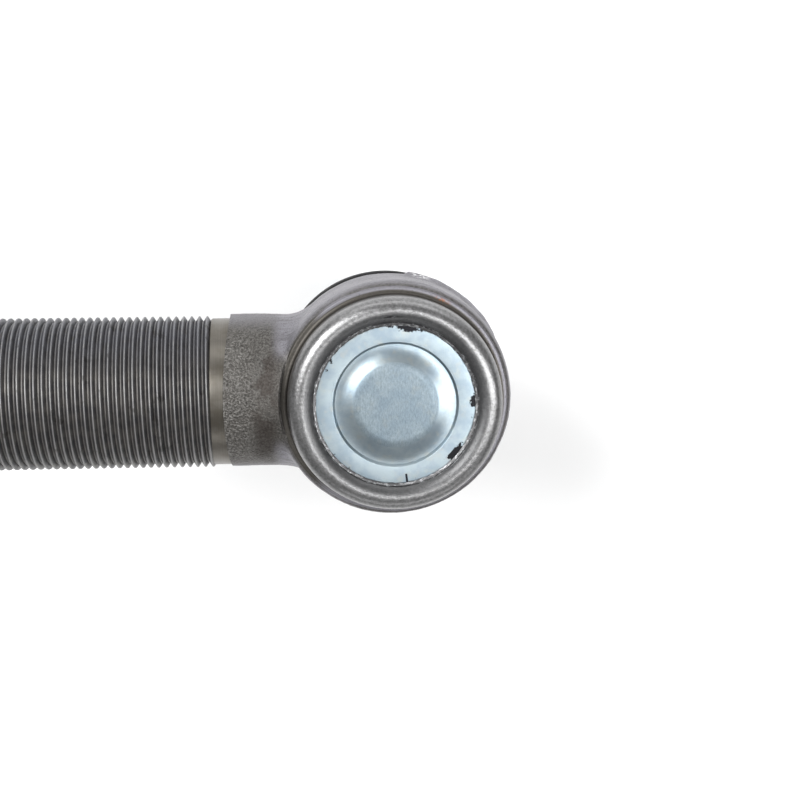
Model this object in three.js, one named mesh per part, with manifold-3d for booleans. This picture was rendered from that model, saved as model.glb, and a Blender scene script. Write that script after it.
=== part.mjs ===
// Heavy-vehicle tie rod end: a forged housing with a left-hand threaded shank, and a ball stud that
// swings and spins in it. Millimetres. The origin is the ball centre, +Z points out through the cover,
// the stud hangs along -Z and the shank runs along -X.
import * as THREE from 'three';
import { mergeVertices } from 'three/addons/utils/BufferGeometryUtils.js';
import Module from 'manifold-3d';

const wasm = await Module();
wasm.setup();

// ---- driving dimensions ----
const gap = 0.3;                       // clearance that separate pieces keep

const shank = {
  majorRadius: 20.64,                  // 1 5/8 - 12 UN, left hand
  pitch: 25.4 / 12,
  neckRadius: 20.8,
  neckChamfer: 1.2,
  runoutRadius: 20,
  neckEnd: 44.6,
  threadStart: 48.4,
  length: 127,
  endChamfer: 1.8,
  centreHoleRadius: 3,
};

const head = {
  partingRadius: 32.1,                 // widest, on the forging's parting plane
  partingHalf: 1.2,                    // half the height of the flat band at the parting plane
  sideRadius: 31.6,                    // forged side just under the machined rim
  sideTop: 14.6,
  rimRadius: 30.5,
  rimHeight: 17.9,                     // machined shoulder outside the rolled lip
  shoulderRise: 0.3,                   // the shoulder climbs this much towards the lip
  draftBelow: 30.8,
  bottom: -18.5,
  mouthRadius: 19.6,
  neckFillet: 12,
};

const lip = {
  centreRadius: 24.6,                  // the rolled edge is a round ring over the cover
  centreHeight: 23.7,
  rollRadius: 3.6,
  flapTop: 26.2,                       // the thin inner edge lies flat on the cover
  innerRadius: 20.7,
};

const cover = {
  radius: 24,
  thickness: 2.8,
  annulusTop: 25.5,
  stepRadius: 16.6,
  grooveRadius: 15.8,
  grooveDepth: 0.6,
  rampRadius: 13.2,
  discRadius: 11.2,
  discTop: 26.1,
};

const ball = { radius: 19, topFlat: 15.5 };
const seat = { thickness: 3, mouthAngle: 33, topHeight: 18, openRadius: 13.6 };
const spring = { thickness: 1.6, innerRadius: 13.4, outerRadius: 21.6, outerHeight: 20.1 };
const sealRing = { radius: 23.5, height: 23.2, wireRadius: 0.5 };
const bootGroove = { radius: 24, top: -13.6, lipTop: -16.2, lipRadius: 25.6, clearRadius: 32 };

const stud = {
  neckRadius: 11,
  neckEnd: -27,
  taperTop: -40,
  taperTopRadius: 14.3,
  taperLength: 34,
  taperRatio: 8,                       // 1:8 on diameter
  threadRadius: 12,                    // M24 x 1.5
  threadPitch: 1.5,
  end: -103,
  endChamfer: 1.5,
  undercut: 1.2,                       // the relief between the taper and the thread is this deep
  pinHole: -93.9,
  pinHoleRadius: 2.7,
};

const nut = {
  seatFace: -75,
  height: 22,
  acrossFlats: 36,
  cornerBevel: 1.6,
  crownHeight: 7,
  crownRadius: 16.6,
  slotWidth: 5.7,
  slotDepth: 6.5,
};
const pin = {
  radius: 2.3, eyeRadius: 3.4, eyeWire: 1.5, headOut: 18.6,
  legOut: 18.4, legWire: 1.15, legDrop: 8.5,
};
const boot = {
  beadRadius: 27.9,                    // outside of the bead that sits in the head's groove
  beadInner: 25.9,
  crestRadius: 30.4,
  crestHeight: -22,
  collarRadius: 18.5,
  collarInner: 14.6,
  collarBottom: -39.6,
};
const wire = { upperRadius: 0.9, lowerRadius: 0.8, upperHeight: -15.6, lowerHeight: -36.8 };

const sides = { large: 44, medium: 32, small: 24, thread: 16 };   // facets round each turned shape

// ---- helpers ----
const v2 = (r, h) => new THREE.Vector2(r, h);

// merges shared vertices, drops triangles with no area and turns the faces outwards
function closedGeometry(source) {
  const bare = new THREE.BufferGeometry();
  bare.setAttribute('position', source.getAttribute('position').clone());
  if (source.index) bare.setIndex(source.index.clone());
  const merged = mergeVertices(bare, 1e-4);
  const position = merged.getAttribute('position');
  const corners = [new THREE.Vector3(), new THREE.Vector3(), new THREE.Vector3()];
  const kept = [];
  let volume = 0;
  for (let i = 0; i < merged.index.count; i += 3) {
    const ids = [0, 1, 2].map((k) => merged.index.getX(i + k));
    if (ids[0] === ids[1] || ids[1] === ids[2] || ids[2] === ids[0]) continue;
    ids.forEach((id, k) => corners[k].fromBufferAttribute(position, id));
    volume += corners[0].dot(corners[1].clone().cross(corners[2]));
    kept.push(ids);
  }
  const order = volume < 0 ? [0, 2, 1] : [0, 1, 2];
  merged.setIndex(kept.flatMap((ids) => order.map((k) => ids[k])));
  return merged;
}

function toSolid(geometry) {
  const closed = closedGeometry(geometry);
  return new wasm.Manifold(new wasm.Mesh({
    numProp: 3,
    vertProperties: new Float32Array(closed.getAttribute('position').array),
    triVerts: new Uint32Array(closed.index.array),
  }));
}

function toGeometry(solid) {
  const mesh = solid.getMesh();
  const geometry = new THREE.BufferGeometry();
  geometry.setAttribute('position', new THREE.BufferAttribute(new Float32Array(mesh.vertProperties), 3));
  geometry.setIndex(new THREE.BufferAttribute(new Uint32Array(mesh.triVerts), 1));
  return geometry;
}

// turns a profile of (radius, height) points about Z
function revolve(points, segments) {
  return new THREE.LatheGeometry(points, segments).rotateX(Math.PI / 2);
}

// points along a circular arc in the (radius, height) plane, angles in degrees from the radius axis
function arc(centreRadius, centreHeight, radius, from, to, steps) {
  return Array.from({ length: steps + 1 }, (_, i) => {
    const angle = THREE.MathUtils.degToRad(from + ((to - from) * i) / steps);
    return v2(centreRadius + radius * Math.cos(angle), centreHeight + radius * Math.sin(angle));
  });
}

function ring(radius, height, wireRadius, segments) {
  const round = arc(radius, height, wireRadius, 0, 360, 6).slice(0, -1);
  return revolve([...round, v2(radius + wireRadius, height)], segments);
}

// A threaded rod along +Z. Its rows of root and crest follow the helix, and each end is closed with a fan.
function threadedRod({ major, pitch, from, to, hand, segments }) {
  const minor = major - 0.6134 * pitch;
  const rowsPerTurn = 2;
  const rows = Math.ceil(((to - from) / pitch) * rowsPerTurn);
  const positions = [];
  for (let row = 0; row <= rows + rowsPerTurn; row++) {
    const radius = row % rowsPerTurn === 0 ? minor : major;
    for (let j = 0; j < segments; j++) {
      const turn = j / segments;
      const angle = hand * turn * Math.PI * 2;
      const height = from + pitch * (row / rowsPerTurn + turn);
      positions.push(radius * Math.cos(angle), radius * Math.sin(angle), height);
    }
  }
  const index = [];
  const at = (row, j) => (j === segments ? (row + rowsPerTurn) * segments : row * segments + j);
  for (let row = 0; row < rows; row++) {
    for (let j = 0; j < segments; j++) {
      const [a, b, c, d] = [at(row, j), at(row, j + 1), at(row + 1, j + 1), at(row + 1, j)];
      index.push(a, b, c, a, c, d);
    }
  }
  const closeEnd = (row, height, flip) => {
    const loop = Array.from({ length: segments + 1 }, (_, j) => at(row, j));
    for (let step = rowsPerTurn - 1; step > 0; step--) loop.push(at(row + step, 0));
    const centre = positions.length / 3;
    positions.push(0, 0, height);
    loop.forEach((id, i) => {
      const next = loop[(i + 1) % loop.length];
      index.push(...(flip ? [centre, next, id] : [centre, id, next]));
    });
  };
  closeEnd(0, from, true);
  closeEnd(rows, from + pitch * (rows / rowsPerTurn + 1), false);
  const geometry = new THREE.BufferGeometry();
  geometry.setAttribute('position', new THREE.Float32BufferAttribute(positions, 3));
  geometry.setIndex(index);
  return geometry;
}

const group = new THREE.Group();
const finishes = {
  forged: { color: 0x5d5a5b, roughness: 0.6, metalness: 0.8 },
  zinc: { color: 0xb4c3cc, roughness: 0.35, metalness: 0.9 },
  ground: { color: 0xa3a4a6, roughness: 0.3, metalness: 0.95 },
  springSteel: { color: 0x4a4d52, roughness: 0.45, metalness: 0.9 },
  plastic: { color: 0xe6e2d3, roughness: 0.5, metalness: 0 },
  rubber: { color: 0x17171a, roughness: 0.75, metalness: 0 },
};

function addPiece(name, geometry, finish) {
  const mesh = new THREE.Mesh(geometry, new THREE.MeshStandardMaterial(finishes[finish]));
  mesh.name = name;
  group.add(mesh);
}

// ---- housing ----
function headBlank() {
  const lipChamfer = 0.6;
  const cornerChamfer = 1.4;
  const fold = Math.asin((lip.flapTop - lip.centreHeight) / lip.rollRadius);
  const foldAngle = 180 - THREE.MathUtils.radToDeg(fold);
  const outline = [
    v2(0, head.bottom),
    v2(bootGroove.lipRadius - lipChamfer, head.bottom),
    v2(bootGroove.lipRadius, head.bottom + lipChamfer),
    v2(bootGroove.lipRadius, bootGroove.lipTop),
    v2(bootGroove.radius, bootGroove.lipTop),
    v2(bootGroove.radius, bootGroove.top),
    v2(head.draftBelow - cornerChamfer, bootGroove.top),
    v2(head.draftBelow, bootGroove.top + cornerChamfer),
    v2(head.partingRadius, -head.partingHalf),
    v2(head.partingRadius, head.partingHalf),
    v2(head.sideRadius, head.sideTop),
    v2((head.sideRadius + head.rimRadius) / 2 + 0.2, head.rimHeight - 1.1),
    v2(head.rimRadius - 0.2, head.rimHeight),
    v2(lip.centreRadius + lip.rollRadius, head.rimHeight + head.shoulderRise),
    ...arc(lip.centreRadius, lip.centreHeight, lip.rollRadius, 0, foldAngle, 8),
    v2(0, lip.flapTop),
  ];
  return toSolid(revolve(outline, sides.large));
}

// the forged neck: round at the shank and widening in plan into the head with a fillet on each side
function neckBlank() {
  const fillet = head.neckFillet;
  const filletY = shank.neckRadius + fillet;
  const filletX = Math.sqrt((head.partingRadius + fillet) ** 2 - filletY ** 2);
  const stations = [12, 18, 21.5, 23, 24.5, 26, 28, filletX, 36, shank.neckEnd];
  const insideThread = shank.threadStart + 2;
  const outline = [
    v2(0, stations[0]),
    ...stations.map((x) => v2(shank.neckRadius, x)),
    v2(shank.runoutRadius, shank.neckEnd + shank.neckChamfer),
    v2(shank.runoutRadius, insideThread),
    v2(0, insideThread),
  ];
  const geometry = revolve(outline, sides.medium).rotateY(-Math.PI / 2);
  const position = geometry.getAttribute('position');
  for (let i = 0; i < position.count; i++) {
    const along = -position.getX(i);
    if (along > filletX) continue;
    const reach = Math.min(filletX - along, fillet * 0.667);
    const halfWidth = filletY - Math.sqrt(fillet ** 2 - reach ** 2);
    position.setY(i, (position.getY(i) * halfWidth) / shank.neckRadius);
  }
  return toSolid(geometry);
}

function shankThread() {
  const cut = shank.majorRadius + 0.2;
  const firstCrest = shank.threadStart - 0.8;
  const mouth = shank.length + 0.6;
  const rod = threadedRod({
    major: shank.majorRadius,
    pitch: shank.pitch,
    from: shank.threadStart - 2 * shank.pitch,
    to: shank.length + shank.pitch,
    hand: -1,
    segments: sides.thread,
  });
  const envelope = revolve([
    v2(0, firstCrest),
    v2(shank.runoutRadius - 0.9, firstCrest),
    v2(cut, firstCrest + 1.4),
    v2(cut, shank.length - shank.endChamfer),
    v2(cut - shank.endChamfer, shank.length),
    v2(0, shank.length),
  ], sides.medium);
  const centreHole = revolve([
    v2(0, shank.length - 5),
    v2(0.8, shank.length - 4),
    v2(shank.centreHoleRadius + 0.6, mouth),
    v2(0, mouth),
  ], 12);
  const along = -Math.PI / 2;
  return toSolid(rod.rotateY(along))
    .intersect(toSolid(envelope.rotateY(along)))
    .subtract(toSolid(centreHole.rotateY(along)));
}

// the room inside the head for the ball, its two seats, the spring and the cover
function headCavity() {
  const wallRadius = ball.radius + gap + seat.thickness + gap;
  const coverRoom = cover.radius + gap;
  const shoulder = cover.annulusTop - cover.thickness - gap;
  const lipUnderside = cover.annulusTop + gap;
  const above = lip.centreHeight + lip.rollRadius + 1;
  const outline = [
    v2(0, head.bottom - 1),
    v2(head.mouthRadius + 0.4, head.bottom - 1),
    v2(head.mouthRadius, head.bottom),
    ...arc(0, 0, wallRadius, -38, 0, 5),
    v2(wallRadius, shoulder),
    v2(coverRoom, shoulder),
    v2(coverRoom, lipUnderside),
    v2(lip.innerRadius, lipUnderside),
    v2(lip.innerRadius, above),
    v2(0, above),
  ];
  return toSolid(revolve(outline, sides.large));
}

// machining all round the head takes the neck's forged skin away above the shoulder and under the boot
function machinedSteps() {
  const clear = 40;
  const inner = lip.centreRadius + lip.rollRadius - 0.5;
  const floor = head.rimHeight + head.shoulderRise;
  const shoulder = toSolid(revolve([
    v2(inner, floor),
    v2(head.rimRadius, floor),
    v2(head.rimRadius, clear),
    v2(inner, clear),
    v2(inner, floor),
  ], sides.large));
  const bootRoom = toSolid(revolve([
    v2(0, bootGroove.top),
    v2(bootGroove.clearRadius, bootGroove.top),
    v2(bootGroove.clearRadius, -clear),
    v2(0, -clear),
  ], sides.large));
  return shoulder.add(bootRoom);
}

function makeHousing() {
  const neck = neckBlank().subtract(machinedSteps());
  const body = headBlank().add(neck).add(shankThread());
  return toGeometry(body.subtract(headCavity()));
}

addPiece('housing', makeHousing(), 'forged');

// ---- cover, its seal and the preload spring ----
function makeCover() {
  const groove = cover.annulusTop - cover.grooveDepth;
  const edgeChamfer = 2.1;
  const outline = [
    v2(0, cover.discTop),
    v2(cover.discRadius, cover.discTop),
    v2(cover.rampRadius, cover.discTop - 0.5),
    v2(cover.grooveRadius - 0.8, groove),
    v2(cover.grooveRadius, groove),
    v2(cover.stepRadius, cover.annulusTop),
    v2(cover.radius, cover.annulusTop),
    v2(cover.radius, cover.annulusTop - cover.thickness + edgeChamfer),
    v2(cover.radius - edgeChamfer, cover.annulusTop - cover.thickness),
    v2(cover.stepRadius, cover.annulusTop - cover.thickness),
    v2(cover.grooveRadius, groove - cover.thickness),
    v2(cover.rampRadius + 0.4, groove - cover.thickness),
    v2(cover.discRadius, cover.discTop - cover.thickness),
    v2(0, cover.discTop - cover.thickness),
  ];
  return revolve(outline, sides.large);
}

function makeDiscSpring() {
  const inner = v2(spring.innerRadius, seat.topHeight + gap);
  const outer = v2(spring.outerRadius, spring.outerHeight);
  return revolve([
    inner,
    outer,
    v2(outer.x, outer.y + spring.thickness),
    v2(inner.x, inner.y + spring.thickness),
    inner,
  ], sides.medium);
}

addPiece('cover_plate', closedGeometry(makeCover()), 'zinc');
const coverSeal = ring(sealRing.radius, sealRing.height, sealRing.wireRadius, sides.medium);
addPiece('cover_seal_ring', closedGeometry(coverSeal), 'rubber');
addPiece('disc_spring', closedGeometry(makeDiscSpring()), 'springSteel');

// ---- ball seats ----
const seatInner = ball.radius + gap;
const seatOuter = seatInner + seat.thickness;

function makeUpperSeat() {
  const chamfer = 0.8;
  const innerTop = THREE.MathUtils.radToDeg(Math.asin((seat.openRadius + chamfer) / seatInner));
  const start = v2(seatInner, gap);
  return revolve([
    start,
    v2(seatOuter, gap),
    v2(seatOuter, seat.topHeight - chamfer),
    v2(seatOuter - chamfer, seat.topHeight),
    v2(seat.openRadius, seat.topHeight),
    ...arc(0, 0, seatInner, innerTop, 6, 5),
    start,
  ], sides.medium);
}

function makeLowerSeat() {
  const start = v2(seatInner, -gap);
  return revolve([
    start,
    ...arc(0, 0, seatInner, -6, -seat.mouthAngle, 4),
    ...arc(0, 0, seatOuter, -seat.mouthAngle, -6, 4),
    v2(seatOuter, -gap),
    start,
  ], sides.medium);
}

addPiece('upper_ball_seat', closedGeometry(makeUpperSeat()), 'plastic');
addPiece('lower_ball_seat', closedGeometry(makeLowerSeat()), 'plastic');

// ---- ball stud ----
const taperEnd = stud.taperTop - stud.taperLength;
const taperEndRadius = stud.taperTopRadius - stud.taperLength / stud.taperRatio / 2;

function makeStud() {
  const topAngle = THREE.MathUtils.radToDeg(Math.asin(ball.topFlat / ball.radius));
  const neckAngle = THREE.MathUtils.radToDeg(Math.acos(stud.neckRadius / ball.radius));
  const body = toSolid(revolve([
    v2(0, ball.topFlat),
    ...arc(0, 0, ball.radius, topAngle, -neckAngle, 11),
    v2(stud.neckRadius, stud.neckEnd),
    v2(stud.neckRadius + 0.9, stud.neckEnd - 2.6),
    v2(stud.taperTopRadius, stud.neckEnd - 5.6),
    v2(stud.taperTopRadius, stud.taperTop),
    v2(taperEndRadius, taperEnd),
    v2(stud.threadRadius - stud.undercut, taperEnd - 0.9),
    v2(stud.threadRadius - stud.undercut, taperEnd - 2.4),
    v2(0, taperEnd - 2.4),
  ], sides.medium));
  const cut = stud.threadRadius + 0.1;
  const rod = threadedRod({
    major: stud.threadRadius,
    pitch: stud.threadPitch,
    from: -taperEnd - stud.threadPitch,
    to: -stud.end + stud.threadPitch,
    hand: 1,
    segments: sides.thread * 0.625,
  });
  const envelope = revolve([
    v2(0, -taperEnd + 1),
    v2(stud.threadRadius - stud.undercut, -taperEnd + 1),
    v2(cut, -taperEnd + 2.3),
    v2(cut, -stud.end - stud.endChamfer),
    v2(stud.threadRadius - stud.endChamfer, -stud.end),
    v2(0, -stud.end),
  ], sides.small);
  const thread = toSolid(rod.rotateX(Math.PI)).intersect(toSolid(envelope.rotateX(Math.PI)));
  const pinHole = new THREE.CylinderGeometry(stud.pinHoleRadius, stud.pinHoleRadius, 40, 16);
  pinHole.translate(0, 0, stud.pinHole);
  return toGeometry(body.add(thread).subtract(toSolid(pinHole)));
}

addPiece('ball_stud', makeStud(), 'ground');

// ---- castle nut and split pin ----
function makeNut() {
  const hexHeight = nut.height - nut.crownHeight;
  const cornerRadius = nut.acrossFlats / 2 / Math.cos(Math.PI / 6);
  const hex = new THREE.CylinderGeometry(cornerRadius, cornerRadius, hexHeight, 6, 1, false, Math.PI / 6);
  hex.rotateX(Math.PI / 2).translate(0, 0, nut.seatFace - hexHeight / 2);
  const bottom = nut.seatFace - nut.height;
  const hexBottom = nut.seatFace - hexHeight;
  const faceRadius = nut.acrossFlats / 2 - 0.4;
  const bevel = revolve([
    v2(0, nut.seatFace),
    v2(faceRadius, nut.seatFace),
    v2(cornerRadius + 0.2, nut.seatFace - nut.cornerBevel),
    v2(cornerRadius + 0.2, hexBottom + nut.cornerBevel),
    v2(faceRadius, hexBottom),
    v2(0, hexBottom),
  ], sides.small);
  const crown = revolve([
    v2(0, hexBottom + 0.5),
    v2(nut.crownRadius, hexBottom + 0.5),
    v2(nut.crownRadius, bottom + 1),
    v2(nut.crownRadius - 1, bottom),
    v2(0, bottom),
  ], sides.small);
  const bore = revolve([
    v2(0, nut.seatFace + 1),
    v2(stud.threadRadius + gap + 1.8, nut.seatFace + 1),
    v2(stud.threadRadius + gap, nut.seatFace - 0.8),
    v2(stud.threadRadius + gap, bottom - 1),
    v2(0, bottom - 1),
  ], sides.small);
  let solid = toSolid(hex).intersect(toSolid(bevel)).add(toSolid(crown)).subtract(toSolid(bore));
  for (let i = 0; i < 3; i++) {
    const slot = new THREE.BoxGeometry(nut.slotWidth, 60, nut.slotDepth);
    slot.translate(0, 0, bottom + nut.slotDepth / 2 - 0.01);
    slot.rotateZ((i * Math.PI) / 3);
    solid = solid.subtract(toSolid(slot));
  }
  return toGeometry(solid);
}

// a rod of round section along a path of points
function sweep(points, radius, sides, steps) {
  const section = new THREE.Shape(new THREE.EllipseCurve(0, 0, radius, radius).getPoints(sides).slice(0, -1));
  const path = new THREE.CatmullRomCurve3(points.map((p) => new THREE.Vector3(...p)), false, 'centripetal');
  return new THREE.ExtrudeGeometry(section, { steps, extrudePath: path });
}

function makeSplitPin() {
  const height = stud.pinHole;
  const shaft = new THREE.CylinderGeometry(pin.radius, pin.radius, pin.headOut + pin.legOut, 12);
  shaft.translate(0, (pin.legOut - pin.headOut) / 2, height);
  const eye = new THREE.TorusGeometry(pin.eyeRadius, pin.eyeWire, 8, 16).rotateY(Math.PI / 2);
  eye.translate(0, -pin.headOut - pin.eyeRadius, height);
  const legs = [1, -1].map((side) => sweep([
    [0, pin.legOut - 1.2, height + side * 0.9],
    [0, pin.legOut + 0.6, height + side * 1.3],
    [0, pin.legOut + 1.9, height + side * 3.4],
    [0, pin.legOut + 1.9, height + side * pin.legDrop],
  ], pin.legWire, 8, 8));
  return toGeometry(legs.reduce((solid, leg) => solid.add(toSolid(leg)), toSolid(shaft).add(toSolid(eye))));
}

addPiece('castle_nut', makeNut(), 'zinc');
addPiece('split_pin', makeSplitPin(), 'ground');

// ---- dust boot and its clamp rings ----
function makeBoot() {
  const outer = new THREE.SplineCurve([
    v2(boot.beadRadius, -17.4), v2(29.4, -19.2), v2(boot.crestRadius, boot.crestHeight), v2(29.3, -26.6),
    v2(25.4, -30.4), v2(20.6, -33), v2(boot.collarRadius, -34.6),
  ]);
  const inner = new THREE.SplineCurve([
    v2(boot.collarInner, -35), v2(18.6, -31.8), v2(23.8, -28.6), v2(27.2, -25.6), v2(28.3, -22.4),
    v2(27.7, -20.4), v2(boot.beadInner, -18.9),
  ]);
  const beadTop = bootGroove.top - gap;
  const beadBottom = bootGroove.lipTop + gap;
  const start = v2(bootGroove.radius + gap, beadTop);
  return revolve([
    start,
    v2(boot.beadRadius, beadTop),
    ...outer.getPoints(8),
    v2(boot.collarRadius, boot.collarBottom),
    v2(boot.collarInner, boot.collarBottom),
    ...inner.getPoints(7),
    v2(boot.beadInner, beadBottom),
    v2(bootGroove.radius + gap, beadBottom),
    start,
  ], sides.medium);
}

addPiece('dust_boot', closedGeometry(makeBoot()), 'rubber');
const upperCentre = boot.beadRadius + gap + wire.upperRadius;
const lowerCentre = boot.collarRadius + gap + wire.lowerRadius;
const upperRing = ring(upperCentre, wire.upperHeight, wire.upperRadius, sides.medium);
const lowerRing = ring(lowerCentre, wire.lowerHeight, wire.lowerRadius, sides.medium);
addPiece('boot_upper_ring', closedGeometry(upperRing), 'ground');
addPiece('boot_lower_ring', closedGeometry(lowerRing), 'ground');

export default group;
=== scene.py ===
import math

import bmesh
import bpy
import numpy as np
from mathutils import Matrix, Vector, noise


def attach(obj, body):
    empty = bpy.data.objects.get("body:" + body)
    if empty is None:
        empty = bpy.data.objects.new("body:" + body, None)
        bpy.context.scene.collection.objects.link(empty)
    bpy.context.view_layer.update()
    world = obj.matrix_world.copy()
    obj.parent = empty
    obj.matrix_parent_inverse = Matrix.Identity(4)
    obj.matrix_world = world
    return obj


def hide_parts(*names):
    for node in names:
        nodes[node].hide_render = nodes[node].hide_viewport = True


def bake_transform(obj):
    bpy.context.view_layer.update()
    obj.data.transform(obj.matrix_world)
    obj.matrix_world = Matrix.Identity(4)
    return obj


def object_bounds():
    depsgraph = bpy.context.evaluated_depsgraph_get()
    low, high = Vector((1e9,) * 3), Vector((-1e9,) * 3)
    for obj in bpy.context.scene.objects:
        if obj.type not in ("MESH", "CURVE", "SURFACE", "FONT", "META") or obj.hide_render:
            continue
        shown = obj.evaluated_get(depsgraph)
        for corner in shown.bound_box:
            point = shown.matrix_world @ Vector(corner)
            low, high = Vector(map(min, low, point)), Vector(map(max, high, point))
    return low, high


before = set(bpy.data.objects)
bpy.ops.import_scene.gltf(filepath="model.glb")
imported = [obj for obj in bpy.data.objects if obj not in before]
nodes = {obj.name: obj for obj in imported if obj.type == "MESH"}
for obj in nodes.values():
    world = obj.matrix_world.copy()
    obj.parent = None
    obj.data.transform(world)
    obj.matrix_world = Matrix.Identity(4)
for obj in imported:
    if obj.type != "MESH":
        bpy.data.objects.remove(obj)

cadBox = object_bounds()
mm = 0.001


# node graphs
class Wire:
    # a socket that can be used in sums
    def __init__(self, graph, socket):
        self.graph = graph
        self.socket = socket

    def maths(self, operation, *others):
        values = dict(enumerate((self, *others)))
        return self.graph.node("ShaderNodeMath", {"operation": operation}, values)

    def __add__(self, other):
        return self.maths("ADD", other)

    def __sub__(self, other):
        return self.maths("SUBTRACT", other)

    def __rsub__(self, other):
        return (self * -1) + other

    def __mul__(self, other):
        return self.maths("MULTIPLY", other)

    def __truediv__(self, other):
        return self.maths("DIVIDE", other)

    def within(self, low, high, start=0.0, end=1.0):
        # runs smoothly from start at low to end at high
        values = {0: self, 1: low, 2: high, 3: start, 4: end}
        return self.graph.node("ShaderNodeMapRange", {"interpolation_type": "SMOOTHSTEP"}, values)

    def near(self, middle, reach):
        # 1 at the middle, falling to 0 at that reach
        return ((self - middle) / reach).maths("ABSOLUTE").within(0, 1, 1, 0)


class Graph:
    def __init__(self, tree):
        self.tree = tree

    def node(self, kind, settings=None, values=None, out=0):
        made = self.tree.nodes.new(kind)
        for key, value in (settings or {}).items():
            setattr(made, key, value)
        for key, value in (values or {}).items():
            if isinstance(value, Wire):
                self.tree.links.new(value.socket, made.inputs[key])
            else:
                made.inputs[key].default_value = value
        return Wire(self, made.outputs[out])

    def vector(self, x, y, z):
        return self.node("ShaderNodeCombineXYZ", None, {0: x, 1: y, 2: z})

    def noise(self, vector, scale, detail, rough):
        values = {"Vector": vector, "Scale": scale, "Detail": detail, "Roughness": rough}
        return self.node("ShaderNodeTexNoise", None, values)

    def mix(self, factor, a, b):
        a = a if isinstance(a, Wire) else (*a, 1)
        b = b if isinstance(b, Wire) else (*b, 1)
        return self.node("ShaderNodeMix", {"data_type": "RGBA"}, {0: factor, 6: a, 7: b}, 2)


class Paint(Graph):
    # one material; lengths inside it are millimetres on the piece
    def __init__(self, name):
        self.material = bpy.data.materials.new(name)
        self.material.use_nodes = True
        super().__init__(self.material.node_tree)
        self.shader = self.tree.nodes["Principled BSDF"]
        place = self.node("ShaderNodeTexCoord", None, None, "Object")
        self.at = self.node("ShaderNodeMapping", None, {"Vector": place, "Scale": (1000, 1000, 1000)})
        self.x, self.y, self.z = (self.node("ShaderNodeSeparateXYZ", None, {0: self.at}, i) for i in range(3))
        self.radius = (self.x * self.x + self.y * self.y).maths("SQRT")      # from the stud axis
        self.angle = self.y.maths("ARCTAN2", self.x)
        self.shankRadius = (self.y * self.y + self.z * self.z).maths("SQRT")

    def bump(self, height, distance, strength=1.0, under=None):
        values = {"Height": height, "Distance": distance * mm, "Strength": strength}
        if under:
            values["Normal"] = under
        return self.node("ShaderNodeBump", None, values)

    def finish(self, **sockets):
        for name, value in sockets.items():
            target = self.shader.inputs[name.replace("_", " ")]
            if isinstance(value, Wire):
                self.tree.links.new(value.socket, target)
            elif isinstance(value, tuple):
                target.default_value = (*value, 1)
            else:
                target.default_value = value
        return self.material


def evaluated(obj):
    view = bpy.context.evaluated_depsgraph_get()
    return bpy.data.meshes.new_from_object(obj.evaluated_get(view))


def addObject(name, mesh, material=None):
    obj = bpy.data.objects.new(name, mesh)
    bpy.context.scene.collection.objects.link(obj)
    if material:
        mesh.materials.clear()
        mesh.materials.append(material)
    return obj


def applyModifiers(obj):
    mesh = evaluated(obj)
    obj.modifiers.clear()
    obj.data = mesh
    return obj


def smoothBelow(obj, degrees):
    obj.data.polygons.foreach_set("use_smooth", [True] * len(obj.data.polygons))
    obj.data.set_sharp_from_angle(angle=math.radians(degrees))
    return obj


# outlines and turned shapes, in millimetres
def roundCorners(points, radii, steps=5):
    # points of (radius, height); a corner with a radius becomes an arc
    out = []
    last = len(points) - 1
    for i, point in enumerate(points):
        size = radii.get(i, 0)
        if not size or i in (0, last):
            out.append(tuple(point))
            continue
        here = Vector(point)
        before = (Vector(points[i - 1]) - here).normalized()
        after = (Vector(points[i + 1]) - here).normalized()
        half = before.angle(after) / 2
        reach = size / math.tan(half)
        start, end = here + before * reach, here + after * reach
        centre = here + (before + after).normalized() * (size / math.sin(half))
        a, b = start - centre, end - centre
        for step in range(steps + 1):
            part = a.lerp(b, step / steps).normalized() * size
            out.append(tuple(centre + part))
    return out


def arcPoints(centreR, centreZ, size, start, end, steps):
    angles = [math.radians(start + (end - start) * i / steps) for i in range(steps + 1)]
    return [(centreR + size * math.cos(a), centreZ + size * math.sin(a)) for a in angles]


def turned(name, outline, sides, material=None, closed=False, shape=None, axis="Z"):
    # revolves an outline; closed joins its last point to its first. shape may move each point
    bm = bmesh.new()
    rings = []
    for row, (r, z) in enumerate(outline):
        if r < 1e-6:
            rings.append([bm.verts.new((0, 0, z * mm))])
            continue
        ring = []
        for side in range(sides):
            angle = side / sides * math.tau
            rr, zz = shape(row, r, z, angle) if shape else (r, z)
            ring.append(bm.verts.new((rr * math.cos(angle) * mm, rr * math.sin(angle) * mm, zz * mm)))
        rings.append(ring)
    pairs = list(zip(rings, rings[1:]))
    if closed:
        pairs.append((rings[-1], rings[0]))
    for low, high in pairs:
        for side in range(sides):
            after = (side + 1) % sides
            if len(low) == 1 and len(high) > 1:
                bm.faces.new((low[0], high[after], high[side]))
            elif len(high) == 1 and len(low) > 1:
                bm.faces.new((low[side], low[after], high[0]))
            elif len(low) > 1:
                bm.faces.new((low[side], low[after], high[after], high[side]))
    if axis == "X":                                   # outline heights then run along the shank
        bmesh.ops.rotate(bm, verts=bm.verts, matrix=Matrix.Rotation(-math.pi / 2, 3, "Y"))
    bmesh.ops.recalc_face_normals(bm, faces=bm.faces)
    mesh = bpy.data.meshes.new(name)
    bm.to_mesh(mesh)
    bm.free()
    return addObject(name, mesh, material)


def cutWith(obj, cutter, operation="DIFFERENCE", crossing=False):
    # crossing is for a piece whose own parts pass through each other
    cut = obj.modifiers.new("cut", "BOOLEAN")
    cut.object = cutter
    cut.operation = operation
    cut.use_self = crossing
    applyModifiers(obj)
    bpy.data.objects.remove(cutter)
    return obj


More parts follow.
